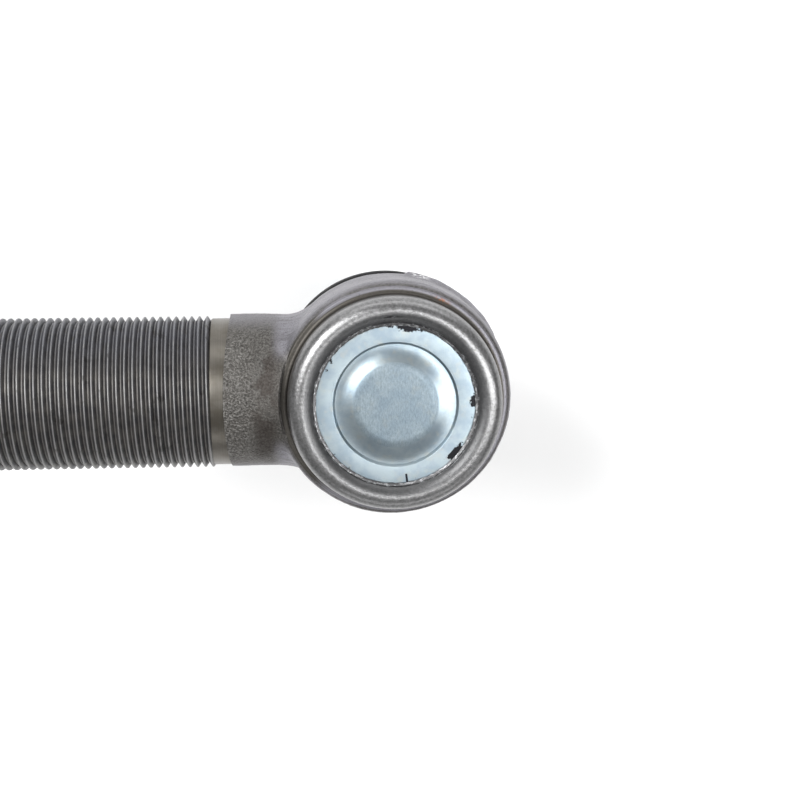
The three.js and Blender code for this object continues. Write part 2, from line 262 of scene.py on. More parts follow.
def joined(first, *others):
    # puts the others' faces into the first piece
    bm = bmesh.new()
    for piece in (first, *others):
        bm.from_mesh(piece.data)
    bm.to_mesh(first.data)
    bm.free()
    for piece in others:
        bpy.data.objects.remove(piece)
    return first


def relax(mesh, weight, rounds):
    # evens the surface out where weight is above 0
    count = len(mesh.vertices)
    place = np.empty(count * 3)
    mesh.vertices.foreach_get("co", place)
    place = place.reshape(-1, 3)
    edge = np.empty(len(mesh.edges) * 2, int)
    mesh.edges.foreach_get("vertices", edge)
    a, b = edge.reshape(-1, 2).T
    degree = (np.bincount(a, minlength=count) + np.bincount(b, minlength=count))[:, None]
    share = weight(place / mm)[:, None]
    for _ in range(rounds):
        total = np.zeros_like(place)
        np.add.at(total, a, place[b])
        np.add.at(total, b, place[a])
        place += (total / np.maximum(degree, 1) - place) * share
    mesh.vertices.foreach_set("co", place.ravel())
    mesh.update()


# finishes
def forgedPaint():
    p = Paint("forgedSkin")
    skin = {"dark": (0.046, 0.044, 0.041), "light": (0.158, 0.152, 0.143), "cool": (0.235, 0.23, 0.255)}
    fine = p.noise(p.at, 1.9, 3, 0.6)
    coarse = p.noise(p.at, 1.6, 2, 0.5)
    broad = p.noise(p.at, 0.11, 3, 0.55)
    pits = p.noise(p.at, 2.6, 2, 0.5).within(0.55, 0.68)
    onNeck = p.x.within(-33, -29, 1, 0)
    onTop = p.z.within(6, 16)
    blasted = onNeck * p.x.within(-40, -34, 1, 0) * onTop      # shot marks are deepest beside the run-out
    drafted = (1 - onNeck) * p.z.maths("ABSOLUTE").within(15.5, 18.5, 1, 0)
    flank = onNeck * p.z.maths("ABSOLUTE").within(4, 12, 0.55, 0)
    lines = p.noise(p.vector(p.angle * 3.2, 0, p.z * 0.9), 1.0, 4, 0.7)
    # darker patches on top of the neck, in the slight hollow beside the run-out
    neckDarkPatch = p.noise(p.at, 0.13, 3, 0.6).within(0.45, 0.54) * p.x.within(-39, -35) * onNeck * onTop
    colour = p.mix(fine.within(0.32, 0.68), skin["dark"], skin["light"])
    colour = p.mix(broad.within(0.35, 0.65) * 0.45, colour, (0.085, 0.078, 0.07))
    colour = p.mix(coarse.within(0.5, 0.62) * blasted * 0.6, colour, (0.24, 0.232, 0.22))
    colour = p.mix(neckDarkPatch * 0.6, colour, (0.030, 0.022, 0.018))
    colour = p.mix(drafted * 0.9, colour, skin["cool"])
    colour = p.mix(drafted * lines.within(0.45, 0.65) * 0.5, colour, (0.075, 0.072, 0.075))
    colour = p.mix(flank, colour, skin["cool"])
    colour = p.mix(pits * 0.5, colour, (0.035, 0.031, 0.028))
    # the nick near the flash: bare torn steel, painted brighter still to stand for its glint
    nickGlint = p.angle.near(1.31, 0.11) * p.z.near(1.5, 2.0) * p.noise(p.at, 0.7, 3, 0.6).within(0.46, 0.52)
    colour = p.mix(nickGlint, colour, (0.75, 0.75, 0.76))
    grain = p.bump(fine, 0.30, 0.5)
    grain = p.bump(coarse * (blasted * 1.4 + 0.25), 0.8, 0.6, grain)
    grain = p.bump(lines * drafted, 0.5, 0.35, grain)
    rough = (fine * 0.2 + 0.40) - drafted * 0.06
    return p.finish(Base_Color=colour, Metallic=0.8, Roughness=rough, Normal=grain)


def machinedPaint():
    # turned faces round the stud axis: the rolled lip and the shoulder outside it
    p = Paint("turnedLip")
    across = p.radius + p.z * 0.7
    grooves = p.noise(p.vector(across * 5.0, 0, 0), 1.0, 3, 0.7)
    tool = p.noise(p.vector(across * 1.3, p.angle * 0.35, 0), 1.0, 2, 0.5)
    cloud = p.noise(p.at, 0.22, 4, 0.6)
    mottle = p.noise(p.at, 1.3, 4, 0.65)
    specks = p.noise(p.at, 2.0, 3, 0.6).within(0.58, 0.7)
    shadedInnerSlope = p.radius.within(23.4, 24.6, 1, 0) * p.z.within(23, 25)
    shadedFlap = p.radius.within(21.6, 21.9, 1, 0) * p.z.within(25.6, 25.7)
    shoulder = p.z.within(20.6, 22.2, 1, 0)
    colour = p.mix(mottle.within(0.3, 0.7), (0.17, 0.17, 0.172), (0.275, 0.275, 0.277))
    colour = p.mix(grooves.within(0.4, 0.7) * 0.12, colour, (0.32, 0.32, 0.322))
    colour = p.mix(cloud.within(0.5, 0.75) * 0.5, colour, (0.15, 0.148, 0.148))
    colour = p.mix(shoulder * 0.88, colour, (0.058, 0.052, 0.043))
    corner = p.radius.within(29.1, 29.5) * p.x.within(-22, -17) * shoulder
    colour = p.mix(corner, colour, (0.20, 0.196, 0.215))
    # painted shade: the inner slope of the roll, down towards the cover, is darkened
    colour = p.mix(shadedInnerSlope * 0.75, colour, (0.075, 0.076, 0.078))
    # painted shade: the thin flap lying in the crease against the cover is darkened
    colour = p.mix(shadedFlap * 0.85, colour, (0.10, 0.10, 0.103))
    flakes = p.noise(p.vector(p.angle * 14, p.radius * 1.5, 0), 1.0, 3, 0.7).within(0.52, 0.6)
    colour = p.mix(shadedFlap * flakes * 0.8, colour, (0.42, 0.43, 0.44))
    colour = p.mix(specks * cloud.within(0.4, 0.6) * 0.6, colour, (0.045, 0.043, 0.041))
    # a grease smear at the top of the lip and a fleck of rust beside it
    smear = p.angle.near(1.62, 0.2) * p.radius.near(23.2, 0.5) * p.noise(p.at, 1.1, 3, 0.6).within(0.42, 0.5)
    rust = p.angle.near(1.12, 0.1) * p.radius.near(29.4, 0.7) * p.noise(p.at, 1.3, 3, 0.6).within(0.45, 0.55)
    colour = p.mix(smear, colour, (0.02, 0.02, 0.022))
    colour = p.mix(rust * 0.8, colour, (0.30, 0.10, 0.03))
    relief = p.bump(grooves, 0.04, 0.3)
    relief = p.bump(tool, 0.12, 0.15, relief)
    relief = p.bump(mottle, 0.25, 0.3, relief)
    rough = mottle * 0.16 + 0.23 + shoulder * 0.14 + shadedInnerSlope * 0.1 + specks * 0.15
    return p.finish(Base_Color=colour, Metallic=0.92, Roughness=rough, Normal=relief)


def shankPaint(name, major, minor, axial, radial, end):
    # a rolled thread over dark oily flanks; the narrow crests are painted bright, part wear and part painted
    # highlight
    p = Paint(name)
    away = p.shankRadius if axial == "x" else p.radius
    along = p.x if axial == "x" else p.z
    turn = p.z.maths("ARCTAN2", p.y) if axial == "x" else p.angle
    crest = away.within(major - radial, major - radial * 0.3)
    rootSheen = away.within(minor + 0.12, minor + 0.42, 1, 0)
    wearAndGlint = p.noise(p.vector(along * 0.5, turn * 5, 0), 1.0, 4, 0.65)
    oil = p.noise(p.at, 0.32, 4, 0.6)
    grime = p.noise(p.at, 0.2, 3, 0.6).within(0.6, 0.7)
    colour = p.mix(oil.within(0.35, 0.65), (0.098, 0.098, 0.104), (0.165, 0.16, 0.155))
    # painted highlight: the roots are painted a lighter brownish grey for the fainter highlight along them
    colour = p.mix(rootSheen * 0.45, colour, (0.15, 0.14, 0.128))
    # painted highlight, partly wear: the crests are painted bright, broken up by noise
    colour = p.mix(crest * (wearAndGlint * 0.5 + 0.4), colour, (0.30, 0.298, 0.295))
    # painted reflection: the upper side is painted bluish, as if reflecting the sky
    upper = p.y.within(6, 17) * oil.within(0.3, 0.6)
    colour = p.mix(upper * 0.6, colour, (0.125, 0.13, 0.155))
    face = along.within(end + 0.1, end + 0.5, 1, 0)
    rings = p.noise(p.vector(away * 3.5, 0, 0), 1.0, 3, 0.7)
    colour = p.mix(grime * (1 - face) * 0.5, colour, (0.03, 0.028, 0.026))
    colour = p.mix(face * rings.within(0.3, 0.7) * 0.7, colour, (0.24, 0.238, 0.232))
    scratches = p.noise(p.vector(along * 3.0, turn * 1.2, away * 2.0), 1.0, 3, 0.7)
    relief = p.bump(rings * face, 0.14, 0.5, p.bump(scratches, 0.08, 0.4))
    return p.finish(Base_Color=colour, Metallic=0.9, Roughness=scratches * 0.16 + 0.42, Normal=relief)


def runoutPaint():
    p = Paint("runoutSteel")
    rings = p.noise(p.vector(p.x * 4.5, 0, 0), 1.0, 3, 0.7)
    oil = p.noise(p.at, 0.18, 4, 0.6)
    colour = p.mix(rings.within(0.3, 0.7), (0.105, 0.097, 0.084), (0.165, 0.154, 0.136))
    colour = p.mix(oil.within(0.4, 0.7) * 0.55, colour, (0.08, 0.069, 0.053))
    relief = p.bump(rings, 0.06, 0.45)
    return p.finish(Base_Color=colour, Metallic=0.9, Roughness=oil * 0.14 + 0.28, Normal=relief)


def zincPaint(name="zincPlate", cover=True):
    p = Paint(name)
    cloud = p.noise(p.at, 0.16, 4, 0.6)
    grain = p.noise(p.at, 3.2, 3, 0.6)
    colour = p.mix(cloud.within(0.35, 0.65), (0.235, 0.293, 0.337), (0.31, 0.367, 0.397))
    colour = p.mix(p.noise(p.at, 0.4, 2, 0.5).within(0.52, 0.75) * 0.35, colour, (0.37, 0.37, 0.32))
    rough = grain * 0.12 + 0.27
    relief = p.bump(grain, 0.06, 0.3)
    if cover:
        disc = p.radius.within(10.8, 11.6, 1, 0)
        weave = p.noise(p.vector(p.x * 2.2, p.y * 0.9, 0), 1.0, 5, 0.75)
        colour = p.mix(disc * (weave.within(0.3, 0.7) * 0.5 + 0.25), colour, (0.12, 0.16, 0.19))
        rough = rough + disc * 0.14
        relief = p.bump(weave * disc, 0.1, 0.4, relief)
        edge = p.radius.within(19.0, 20.2)
        sides = p.angle.near(1.45, 0.32) + p.angle.near(0.03, 0.14) + p.angle.near(-0.72, 0.24)
        tick = p.angle.near(-1.43, 0.026) * p.radius.within(18.4, 18.7) * p.radius.within(20.6, 21.0, 1, 0)
        # near-black patches along the cover's edge next to the lip, heaviest at the top, the right and the
        # lower right
        edgeDarkPatches = (p.noise(p.at, 0.5, 5, 0.65) + edge * 0.1 + sides * 0.26).within(0.72, 0.75)
        colour = p.mix(edgeDarkPatches * edge.within(0.05, 0.15), colour, (0.012, 0.012, 0.014))
        colour = p.mix(tick.within(0.3, 0.5), colour, (0.012, 0.012, 0.016))
    return p.finish(Base_Color=colour, Metallic=0.9, Roughness=rough, Normal=relief)


def groundPaint():
    p = Paint("groundSteel")
    rings = p.noise(p.vector(p.z * 6.0, 0, 0), 1.0, 3, 0.7)
    cloud = p.noise(p.at, 0.25, 4, 0.6)
    colour = p.mix(cloud.within(0.3, 0.8), (0.34, 0.34, 0.34), (0.28, 0.277, 0.272))
    relief = p.bump(rings, 0.03, 0.4)
    return p.finish(Base_Color=colour, Metallic=1.0, Roughness=rings * 0.14 + 0.24, Normal=relief)


def wirePaint():
    p = Paint("blackWire")
    grain = p.noise(p.at, 1.6, 4, 0.6)
    colour = p.mix(grain, (0.045, 0.047, 0.052), (0.16, 0.162, 0.17))
    relief = p.bump(grain, 0.05, 0.3)
    return p.finish(Base_Color=colour, Metallic=0.9, Roughness=grain * 0.2 + 0.3, Normal=relief)


def rubberPaint():
    p = Paint("bootRubber")
    grain = p.noise(p.at, 2.6, 4, 0.65)
    dust = p.noise(p.at, 0.14, 4, 0.6)
    colour = p.mix(dust.within(0.45, 0.75) * 0.6, (0.009, 0.009, 0.010), (0.03, 0.0295, 0.028))
    relief = p.bump(grain, 0.1, 0.4)
    rough = grain * 0.2 + 0.52
    return p.finish(Base_Color=colour, Roughness=rough, Specular_IOR_Level=0.12, Normal=relief)


def plasticPaint():
    p = Paint("seatPlastic")
    grain = p.noise(p.at, 1.2, 3, 0.5)
    colour = p.mix(grain, (0.70, 0.67, 0.58), (0.80, 0.78, 0.70))
    return p.finish(Base_Color=colour, Roughness=grain * 0.15 + 0.4, Normal=p.bump(grain, 0.04, 0.3))


paint = {
    "forged": forgedPaint(),
    "lip": machinedPaint(),
    "thread": shankPaint("shankThread", 20.64, 19.34, "x", 0.24, -127),
    "studThread": shankPaint("studThread", 12.0, 11.08, "z", 0.2, -103),
    "runout": runoutPaint(),
    "zinc": zincPaint(),
    "nut": zincPaint("nutZinc", False),
    "ground": groundPaint(),
    "wire": wirePaint(),
    "rubber": rubberPaint(),
    "plastic": plasticPaint(),
}
print("finishes made:", len(paint))


# forging: the head's drafted side and the neck
forging = {
    "partingRadius": 31.75, "sideRadius": 31.6, "sideTop": 14.8, "rimRadius": 30.5, "rimHeight": 17.9,
    "lowRadius": 30.8, "low": -13.6, "innerRadius": 25.2, "bootRoom": 32.0, "voxel": 0.5,
    "neckRadius": 20.8, "neckEnd": 44.4, "roughEnd": 47.4, "fillet": 12.0,
    "neckBulge": 1.7, "neckShift": 0.3,                      # the skin reaches further out on top of the neck
    "waves": 0.10, "waveScale": 0.16, "marks": 0.05, "markScale": 0.8,
    "dip": 0.25, "dipAt": 34.5, "dipReach": 3.5,              # the slight hollow on top of the neck
    "flashWidth": 1.7, "flashHeight": 0.16,
    "flashStub": 1.0, "flashFrom": 0.5, "flashTo": 1.44,      # where the trimming tool left more flash
}


def neckMesh(f):
    # round at the shank; in plan it widens into the head with a fillet on each side
    centreY = f["neckRadius"] + f["fillet"]
    filletX = math.sqrt((f["partingRadius"] + f["fillet"]) ** 2 - centreY ** 2)
    stations = [4, 12, 18, 20, *np.linspace(21.5, filletX, 9), 32, 36, 40, 43, f["roughEnd"]]
    outline = [(0, stations[0]), *((f["neckRadius"], s) for s in stations), (0, f["roughEnd"])]
    neck = turned("neckRough", outline, 96, axis="X")
    for vertex in neck.data.vertices:
        along = -vertex.co.x / mm
        reach = min(max(filletX - along, 0), f["fillet"] * 0.667)
        width = centreY - math.sqrt(f["fillet"] ** 2 - reach ** 2)
        vertex.co.y *= width / f["neckRadius"]
        vertex.co.y += f["neckShift"] * min(max((along - 26) / 6, 0), 1) * mm
    return neck


def forgingSurface(obj, f):
    # hammer marks, the trimmed flash along the parting plane and a slight hollow in the neck
    count = len(obj.data.vertices)
    places, normals = np.empty(count * 3), np.empty(count * 3)
    obj.data.vertices.foreach_get("co", places)
    obj.data.vertex_normals.foreach_get("vector", normals)
    places, normals = places.reshape(-1, 3), normals.reshape(-1, 3)
    for i in range(count):
        place = Vector(places[i] / mm)
        flat = math.hypot(place.x, place.y)
        if flat < f["innerRadius"] + 1.5 and place.x > -26:
            continue
        push = f["waves"] * noise.fractal(place * f["waveScale"], 1.0, 2.0, 3)
        push += f["marks"] * noise.noise(place * f["markScale"])
        ragged = 0.75 + 0.5 * noise.noise(Vector((place.x, place.y, 3)) * 0.25)
        push += f["flashHeight"] * ragged * math.exp(-(place.z / f["flashWidth"]) ** 2)
        turn = math.atan2(place.y, place.x)
        if f["flashFrom"] - 0.3 < turn < f["flashTo"] and place.x > -20:
            rise = min(1.0, (turn - f["flashFrom"] + 0.3) / 0.45) * min(1.0, (f["flashTo"] - turn) / 0.03)
            push += f["flashStub"] * rise * math.exp(-(place.z / 2.6) ** 2) * (0.72 + 0.25 * ragged)
        if place.x < -27:
            hollow = math.exp(-((place.x + f["dipAt"]) / f["dipReach"]) ** 2)
            push -= f["dip"] * hollow * max(0.0, place.z / 20)
            push *= min(1.0, max(0.0, (f["roughEnd"] + place.x) / 3))
        places[i] += normals[i] * push * mm
    obj.data.vertices.foreach_set("co", places.ravel())
    obj.data.update()


def makeForging(f):
    outline = [
        (f["innerRadius"], f["low"]),
        (f["lowRadius"] - 1.2, f["low"]),
        (f["lowRadius"], f["low"] + 1.5),
        (f["partingRadius"] - 0.15, -3),
        (f["partingRadius"], 0),
        (f["partingRadius"] - 0.15, 3),
        (f["sideRadius"], f["sideTop"]),
        (f["rimRadius"] + 0.2, f["rimHeight"]),
        (f["innerRadius"], f["rimHeight"]),
    ]
    head = turned("headRough", roundCorners(outline, {2: 1.0, 6: 1.2, 7: 0.7}), 160, closed=True)
    neck = neckMesh(f)
    bore = turned("boreRough", [(0, -30), (f["innerRadius"], -30), (f["innerRadius"], 30), (0, 30)], 96)
    cutWith(neck, bore)
    joined(head, neck)
    skin = head.modifiers.new("skin", "REMESH")
    skin.mode = "VOXEL"
    skin.voxel_size = f["voxel"] * mm
    applyModifiers(head)

    def nearJoint(place):
        flat = np.hypot(place[:, 0], place[:, 1])
        joint = np.clip(1 - np.abs(flat - 31.5) / 5.0, 0, 1) * (place[:, 0] < -12)
        return 0.25 * (flat > f["innerRadius"] + 2) + 0.6 * joint

    relax(head.data, nearJoint, 9)
    forgingSurface(head, f)
    return head


def machineForging(head, f):
    # the turned shoulder and the boot's room cut clean steps through the forged neck
    shoulder = f["rimHeight"] + 0.15
    step = [(26.9, shoulder), (f["rimRadius"], shoulder), (f["rimRadius"], 40), (26.9, 40)]
    room = [(0, f["low"]), (f["bootRoom"], f["low"]), (f["bootRoom"], -40), (0, -40)]
    ends = [(0, f["neckEnd"]), (12, f["neckEnd"]), (40, f["neckEnd"]), (40, 60), (0, 60)]
    end = turned("endCutter", ends, 96, axis="X")
    # the skin ends in a curve, furthest out on top and below
    for vertex in end.data.vertices:
        away = math.hypot(vertex.co.y, vertex.co.z)
        if away > 0.001 and vertex.co.x > -0.05:
            height = abs(vertex.co.z) / away
            vertex.co.x -= (f["neckBulge"] * height ** 2 - 1.2) * mm
    cutters = joined(
        turned("stepCutter", step, 256, closed=True),
        turned("roomCutter", room, 256),
        end)
    return cutWith(head, cutters)


housingSkin = machineForging(makeForging(forging), forging)
housingSkin.name = "forgedHousing"
housingSkin.data.materials.clear()
housingSkin.data.materials.append(paint["forged"])
smoothBelow(housingSkin, 35)
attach(housingSkin, "housing")
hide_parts("housing")
print("forging made:", len(housingSkin.data.polygons), "faces")


# machined core of the head: bore, shoulder and rolled lip
core = {
    "lipRadius": 24.6, "lipHeight": 23.7, "roll": 3.6, "lipInner": 20.75, "foldRadius": 21.7,
    "shoulder": 18.1,
    "bore": 22.6, "coverRoom": 24.3, "coverShelf": 22.4, "lipUnder": 25.8,
    "grooveRadius": 24.0, "hookRadius": 25.6, "bottom": -18.5, "sides": 288,
}


def makeCore(c):
    outer = [
        (26.4, -12.6), (26.4, -13.6), (c["grooveRadius"], -13.6), (c["grooveRadius"], -16.2),
        (c["hookRadius"], -16.2), (c["hookRadius"], c["bottom"]), (19.6, c["bottom"]), (18.0, -13.9),
    ]
    outline = roundCorners(outer, {2: 0.4, 3: 0.3, 4: 0.4, 5: 0.6, 6: 0.5}, 4)
    outline += arcPoints(0, 0, c["bore"], -37, 0, 8)
    outline += [(c["bore"], c["coverShelf"]), (c["coverRoom"], c["coverShelf"])]
    outline += [(c["coverRoom"], c["lipUnder"])]
    jaggedFrom = len(outline)
    # a thin flap lies on the cover, parted from the roll by a sharp fold
    outline += [
        (c["lipInner"] + 0.3, c["lipUnder"]), (c["lipInner"], c["lipUnder"] + 0.1),
        (c["lipInner"] + 0.35, c["lipUnder"] + 0.3), (c["foldRadius"] - 0.25, c["lipUnder"] + 0.36),
        (c["foldRadius"], c["lipUnder"] + 0.12)]
    outline += arcPoints(c["lipRadius"], c["lipHeight"], c["roll"], 139, 0, 30)
    jaggedTo = jaggedFrom + 4
    wall = c["lipRadius"] + c["roll"]
    side = [
        (wall, 22), (wall, c["shoulder"] + 0.1), (30.0, c["shoulder"]),
        (30.6, 17.2), (30.4, 14), (26.4, 14),
    ]
    outline += roundCorners(side, {1: 1.0, 2: 0.4, 3: 0.3}, 6)

    def shape(row, r, z, angle):
        if jaggedFrom <= row <= jaggedTo:         # the crimping roller leaves a ragged inner edge
            fade = 1 - (row - jaggedFrom) / (jaggedTo - jaggedFrom + 1)
            ragged = noise.noise(Vector((math.cos(angle), math.sin(angle), 0)) * 9)
            ragged += 0.9 * noise.noise(Vector((math.cos(angle), math.sin(angle), 0.4)) * 34)
            r += 0.15 * ragged * fade
        elif row > jaggedTo and r > 20 and z > 21:    # slight waviness of the rolled ring
            around = Vector((math.cos(angle) * 2, math.sin(angle) * 2, z * 0.3))
            r += 0.05 * noise.noise(around)
        return r, z

    return turned("rolledLip", outline, c["sides"], paint["lip"], True, shape)


lip = smoothBelow(makeCore(core), 38)
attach(lip, "housing")
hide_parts("housing")
print("rolled lip made")


# threads
def threadTree(name, material):
    tree = bpy.data.node_groups.new(name, "GeometryNodeTree")
    inputs = {
        "Pitch": 2.0, "Major": 20.0, "Minor": 19.0, "Length": 40.0,
        "Chamfer": 2.0, "Hand": 1.0, "Centre": 0.0, "Per Turn": 64,
    }
    tree.interface.new_socket("Geometry", in_out="INPUT", socket_type="NodeSocketGeometry")
    for label, value in inputs.items():
        kind = "NodeSocketInt" if isinstance(value, int) else "NodeSocketFloat"
        tree.interface.new_socket(label, in_out="INPUT", socket_type=kind).default_value = value
    tree.interface.new_socket("Geometry", in_out="OUTPUT", socket_type="NodeSocketGeometry")
    g = Graph(tree)
    feed = tree.nodes.new("NodeGroupInput")
    fed = (Wire(g, feed.outputs[label]) for label in inputs)
    pitch, major, minor, length, chamfer, hand, centre, perTurn = fed
    # one ridge wound round the core, its ends fading into it
    turns = (length / pitch) - 1.2                        # it stops short of the chamfer
    helix = g.node("GeometryNodeCurveSpiral", None, {
        "Resolution": perTurn, "Rotations": turns, "Start Radius": minor, "End Radius": minor,
        "Height": turns * pitch, "Reverse": hand.maths("LESS_THAN", 0)})
    start = g.vector(0, 0, pitch * 0.3)
    helix = g.node("GeometryNodeTransform", None, {"Geometry": helix, "Translation": start})
    helix = g.node("GeometryNodeSetCurveNormal", {"mode": "Z_UP"}, {0: helix})
    depth = major - minor
    ridge = g.node("GeometryNodeCurvePrimitiveQuadrilateral", {"mode": "TRAPEZOID"}, {
        "Bottom Width": pitch * 0.96, "Top Width": pitch * 0.13, "Height": depth + 0.12, "Offset": 0.0})
    rounding = {0: ridge, "Count": 3, "Radius": pitch * 0.07}
    ridge = g.node("GeometryNodeFilletCurve", {"mode": "POLY"}, rounding)
    ridge = g.node("GeometryNodeTransform", None, {
        "Geometry": ridge, "Translation": g.vector(0, depth * 0.5 - 0.06, 0)})
    outward = g.vector(0, 0, hand * (math.pi / 2))
    ridge = g.node("GeometryNodeTransform", None, {"Geometry": ridge, "Rotation": outward})
    done = g.node("GeometryNodeSplineParameter")
    fade = done.within(0.0, 0.02) * done.within(0.98, 1.0, 1, 0)
    wound = g.node("GeometryNodeCurveToMesh", None, {
        0: helix, 1: ridge, "Fill Caps": True, "Scale": fade * 0.95 + 0.05})
    rod = g.node("GeometryNodeMeshCone", None, {
        "Vertices": 128, "Side Segments": 60, "Fill Segments": 24,
        "Radius Top": minor + 0.02, "Radius Bottom": minor + 0.02, "Depth": length})
    both = g.tree.nodes.new("GeometryNodeJoinGeometry")
    for part in (rod, wound):
        tree.links.new(part.socket, both.inputs[0])
    # the end is turned to a chamfer and may have a centre hole
    place = g.node("GeometryNodeInputPosition")
    x, y, z = (g.node("ShaderNodeSeparateXYZ", None, {0: place}, i) for i in range(3))
    away = (x * x + y * y).maths("SQRT")
    most = (major + 0.01).maths("MINIMUM", major - chamfer + (length - z) * 1.0)
    share = most.maths("MINIMUM", away) / away.maths("MAXIMUM", 0.001)
    drilled = (centre - away).maths("MAXIMUM", 0.0) * 1.73 * z.maths("GREATER_THAN", length - 0.05)
    turnedTo = g.vector(x * share, y * share, z.maths("MINIMUM", length) - drilled)
    cut = g.node("GeometryNodeSetPosition", None, {0: Wire(g, both.outputs[0]), "Position": turnedTo})
    scaled = g.node("GeometryNodeTransform", None, {"Geometry": cut, "Scale": (mm, mm, mm)})
    solid = g.node("GeometryNodeRealizeInstances", None, {0: scaled})
    solid = g.node("GeometryNodeSetMaterial", None, {0: solid, "Material": material})
    tree.links.new(solid.socket, tree.nodes.new("NodeGroupOutput").inputs[0])
    return tree


def growThread(name, material, sizes, turnTo):
    obj = addObject(name, bpy.data.meshes.new(name))
    tree = threadTree(name + "Tree", material)
    grow = obj.modifiers.new("thread", "NODES")
    grow.node_group = tree
    for item in tree.interface.items_tree:
        if item.in_out == "INPUT" and item.name in sizes:
            grow[item.identifier] = sizes[item.name]
    applyModifiers(obj)
    obj.data.transform(turnTo)
    return smoothBelow(obj, 28)


shankSizes = {
    "Pitch": 25.4 / 12, "Major": 20.64, "Minor": 19.34, "Length": 80.7,
    "Chamfer": 1.8, "Hand": -1.0, "Centre": 3.6, "Per Turn": 96,
}
shankStart = 46.3                                     # from the stud axis
shankTurn = Matrix.Translation((-shankStart * mm, 0, 0)) @ Matrix.Rotation(-math.pi / 2, 4, "Y")
shankThread = growThread("shankThread", paint["thread"], shankSizes, shankTurn)
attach(shankThread, "housing")
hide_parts("housing")
print("shank thread made:", len(shankThread.data.polygons), "faces")

runout = {"start": 40.5, "end": 48.7, "radius": 20.0}
runoutPoints = [
    (0, runout["start"] - 2), (runout["radius"] - 0.1, runout["start"] - 2),
    (runout["radius"], runout["start"]), (runout["radius"], runout["end"] - 0.4),
    (runout["radius"] - 0.7, runout["end"]), (0, runout["end"]),
]
runoutOutline = roundCorners(runoutPoints, {3: 0.3})
runoutPiece = smoothBelow(turned("shankRunout", runoutOutline, 192, paint["runout"], axis="X"), 35)
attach(runoutPiece, "housing")
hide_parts("housing")
print("run-out made")


# cover plate
cover = {
    "radius": 24.0, "top": 25.5, "thickness": 2.8, "step": 16.6, "groove": 15.85, "depth": 0.75,
    "disc": 11.2, "flat": 9.2, "discTop": 26.1, "domeSteps": 16,
}


def makeCover(c):
    floor = c["top"] - c["depth"]
    dome = []
    for step in range(c["domeSteps"] + 1):            # the pressed dome falls away in one smooth sweep
        done = step / c["domeSteps"]
        fall = (1 - math.cos(math.pi * done ** 0.9)) / 2
        radius = c["flat"] + (c["groove"] - c["flat"]) * done
        dome.append((radius, c["discTop"] - (c["discTop"] - floor) * fall))
    rim = [
        dome[-1], (c["step"] - 0.15, c["top"] + 0.02), (c["radius"], c["top"]),
        (c["radius"], c["top"] - 0.7), (c["radius"] - 2.1, c["top"] - c["thickness"]),
    ]
    top = [(0, c["discTop"]), *dome[:-1], *roundCorners(rim, {1: 0.16, 2: 0.15}, 6)]
    under = [
        (c["step"], c["top"] - c["thickness"]), (c["groove"], floor - c["thickness"]),
        (13.6, floor - c["thickness"]), (c["disc"], c["discTop"] - c["thickness"]),
        (0, c["discTop"] - c["thickness"]),
    ]
    return turned("coverPlate", top + roundCorners(under, {1: 0.8, 2: 1.5, 3: 1.5}), 256, paint["zinc"])


coverPlate = smoothBelow(makeCover(cover), 32)
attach(coverPlate, "housing")
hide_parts("cover_plate")
print("cover made")


# dust boot, in two halves that meet halfway down its skirt
boot = {"crest": (30.25, -22.0), "split": (29.0, -26.3), "wall": 2.1, "sides": 192, "sag": 0.4, "sagTo": 1.2}


def splinePoints(points, steps):
    # a smooth curve through the points
    out = []
    padded = [points[0], *points, points[-1]]
    for a, b, c, d in zip(padded, padded[1:], padded[2:], padded[3:]):
        for step in range(steps):
            t = step / steps
            weights = (
                -t + 2 * t * t - t ** 3, 2 - 5 * t * t + 3 * t ** 3,
                t + 4 * t * t - 3 * t ** 3, t ** 3 - t * t)
            out.append(tuple(sum(w * p[k] for w, p in zip(weights, (a, b, c, d))) / 2 for k in (0, 1)))
    return out + [tuple(points[-1])]


def makeBoot(b):
    crest = b["crest"]
    split = b["split"]
    inside = (crest[0] - b["wall"], crest[1])
    splitInside = (split[0] - b["wall"] * 0.87, split[1] + b["wall"] * 0.5)
    bead = [(24.3, -13.9), (27.9, -13.9), (27.9, -14.4), (27.45, -15.0), (27.45, -16.2), (27.9, -16.8)]
    fold = [(28.0, -17.4), (29.3, -19.0), (30.15, -20.6), crest, (30.25, -24.2), split]
    foldInside = [splitInside, (28.2, -23.7), inside, (28.0, -20.9), (27.2, -19.9), (25.95, -18.9)]
    upperOuter = roundCorners(bead, {1: 0.4, 3: 0.5, 4: 0.5}) + splinePoints(fold, 8)
    upperInner = splinePoints(foldInside, 6) + [(25.95, -16.0), (24.3, -15.9)]

    def sag(row, r, z, angle):                        # the soft fold hangs a little to one side
        near = math.exp(-((z - crest[1]) / 3.5) ** 2)
        return r + b["sag"] * near * math.cos(angle - b["sagTo"]), z

    upper = turned("bootUpper", upperOuter + upperInner, b["sides"], paint["rubber"], True, sag)
    collar = [(18.5, -35.6), (18.1, -36.1), (18.1, -37.5), (18.5, -38.0), (18.5, -39.6), (14.6, -39.6)]
    lowerOuter = splinePoints([split, (27.6, -28.6), (24.2, -31.1), (20.6, -33.0), (18.5, -34.8)], 8)
    lowerOuter += roundCorners(collar, {1: 0.4, 2: 0.4, 4: 0.5})
    lowerInner = splinePoints([(14.6, -35), (18.6, -31.8), (23.4, -29.0), (26.0, -27.0), splitInside], 6)
    lower = turned("bootLower", lowerOuter + lowerInner, b["sides"], paint["rubber"], True, sag)
    return smoothBelow(upper, 40), smoothBelow(lower, 40)


bootUpper, bootLower = makeBoot(boot)
for half in (bootUpper, bootLower):
    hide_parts("dust_boot")
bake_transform(bootUpper)
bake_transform(bootLower)
print("boot made")


